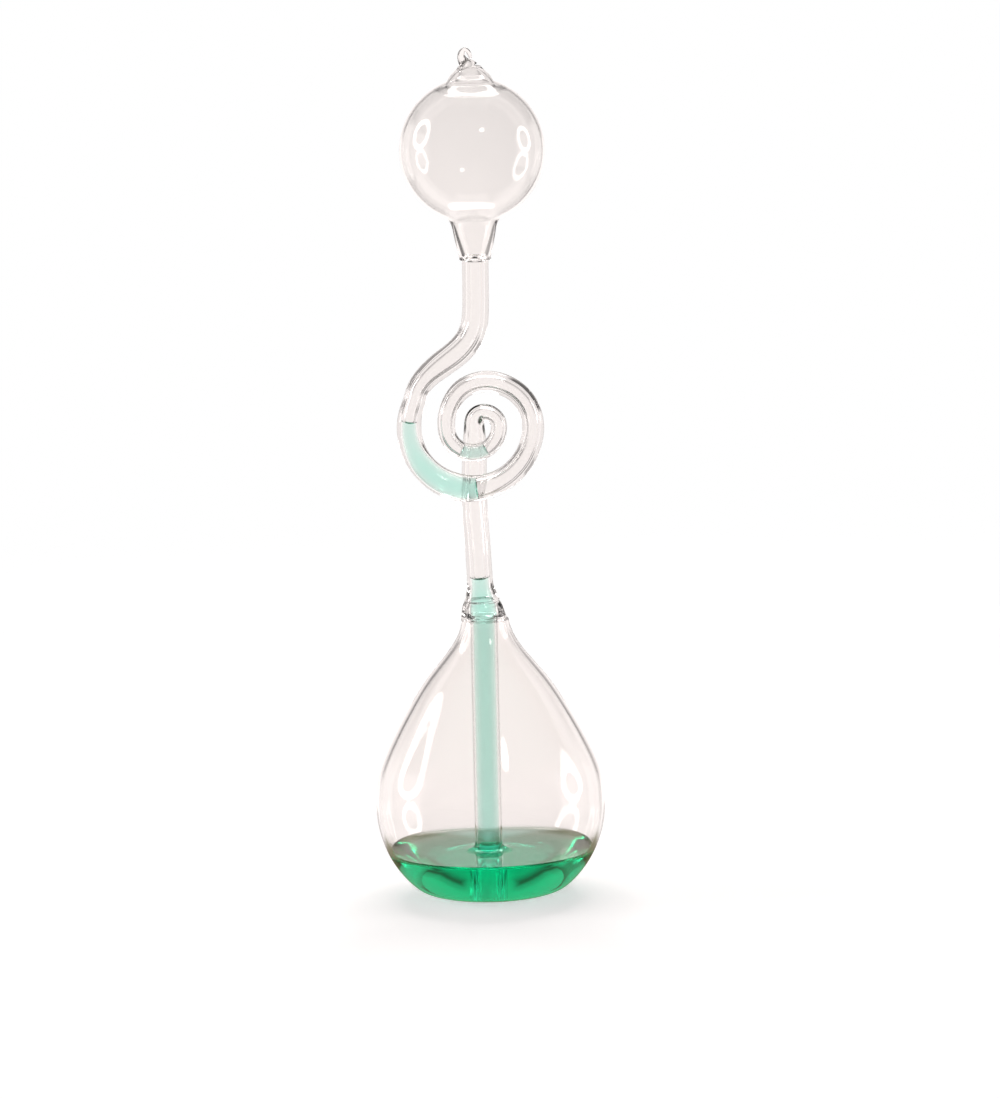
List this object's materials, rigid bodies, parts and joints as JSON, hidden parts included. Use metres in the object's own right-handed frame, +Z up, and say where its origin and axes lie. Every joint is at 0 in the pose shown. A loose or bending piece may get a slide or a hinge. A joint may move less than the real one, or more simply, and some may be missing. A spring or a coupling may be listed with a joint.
{
  "type": "hand boiler",
  "caption": "Sealed glass hand boiler: a drop-shaped lower bulb of green liquid, a dip tube, a coiled riser and a round upper bulb with a drawn tip.",
  "frame": {"origin": "centre of the flat that the lower bulb stands on", "axes": "+Z up through the upper bulb; -Y is the front, the side the coil's turns are on; +X is to the right seen from the front"},
  "size_m": [0.0568, 0.0568, 0.2124],
  "materials": {
    "bulb_glass": "polished",
    "upper_glass": "polished",
    "dip_glass": "polished",
    "coil_glass": "polished",
    "seal_glass": "polished",
    "seam_glass": "polished",
    "tip_glass": "polished",
    "pool_liquid": "polished",
    "column_liquid": "polished",
    "outer_liquid": "polished",
    "inner_liquid": "polished"
  },
  "bodies": {
    "glassware": {"lower_bulb": "bulb_glass", "neck_seal": "seal_glass", "dip_tube": "dip_glass", "coil_tube": "coil_glass", "upper_seal": "seam_glass", "upper_bulb": "upper_glass", "seal_tip": "tip_glass", "liquid_pool": "pool_liquid"},
    "column": {"liquid_column": "column_liquid"},
    "outer_slug": {"outer_slug": "outer_liquid"},
    "inner_slug": {"inner_slug": "inner_liquid"}
  },
  "joints": [
    {"name": "column_rise", "type": "slide", "parent": "glassware", "child": "column", "axis": [-0.0373, 0, 0.9993], "range_m": [-0.0025, 0.0042], "deforming": ["liquid_column"]},
    {"name": "outer_slug_turn", "type": "hinge", "parent": "glassware", "child": "outer_slug", "pos_m": [-0.00244, -0.0027, 0.11757], "axis": [0.0659, 0.9952, -0.0725], "range_deg": [-7.8, 12.8]},
    {"name": "inner_slug_turn", "type": "hinge", "parent": "glassware", "child": "inner_slug", "pos_m": [-0.00176, -0.00295, 0.1178], "axis": [-0.0535, 0.9985, -0.0076], "range_deg": [-41.5, 69.5]}
  ],
  "couplings": [
    {"joint": "outer_slug_turn", "follows": "column_rise", "rad_per_m": 51.5},
    {"joint": "inner_slug_turn", "follows": "column_rise", "rad_per_m": 284}
  ]
}
